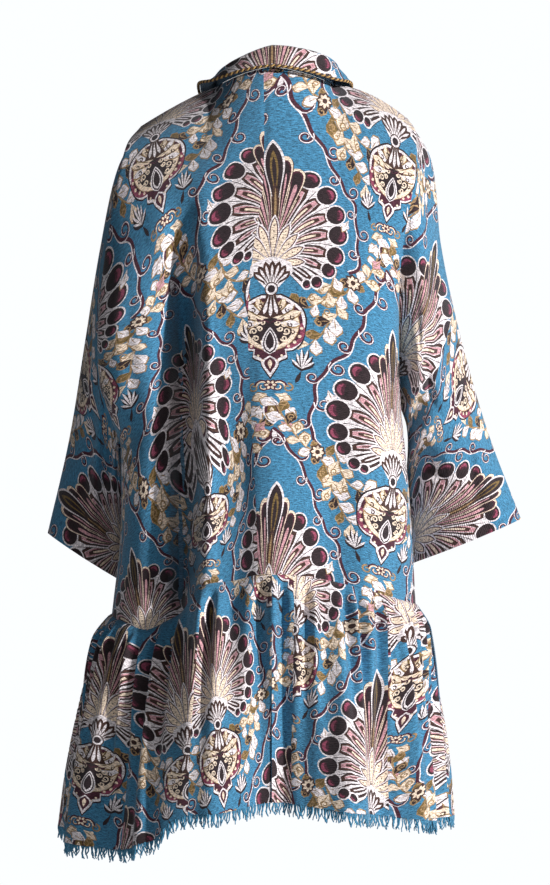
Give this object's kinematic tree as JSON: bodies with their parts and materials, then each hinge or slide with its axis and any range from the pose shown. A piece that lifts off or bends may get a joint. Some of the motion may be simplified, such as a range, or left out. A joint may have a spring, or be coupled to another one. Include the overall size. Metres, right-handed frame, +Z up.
{
  "type": "cocoon coat",
  "caption": "Cocoon coat as worn: wide sleeves cut in one with the body, a turned-down collar edged with cord, and a gathered flounce with a fringed hem.",
  "frame": {"origin": "centre of the base of the neck, where the coat hangs from the wearer's shoulders", "axes": "+Z up, the wearer faces -Y, +X towards the wearer's left"},
  "size_m": [0.6408, 0.4038, 1.0809],
  "materials": {
    "cloth": "thick chenille tapestry weave, mid blue with palmettes in cream, plum, brown and gold",
    "cord": "twisted gold and brown cord",
    "fringe": "frayed blue chenille yarn"
  },
  "bodies": {
    "root": {"back_right": "cloth", "back_left": "cloth", "front_right": "cloth", "front_left": "cloth", "flounce_back": "cloth", "flounce_front_right": "cloth", "flounce_front_left": "cloth", "fringe_back": "fringe", "fringe_front_right": "fringe", "fringe_front_left": "fringe", "collar": "cloth", "collar_cord": "cord"}
  },
  "joints": []
}
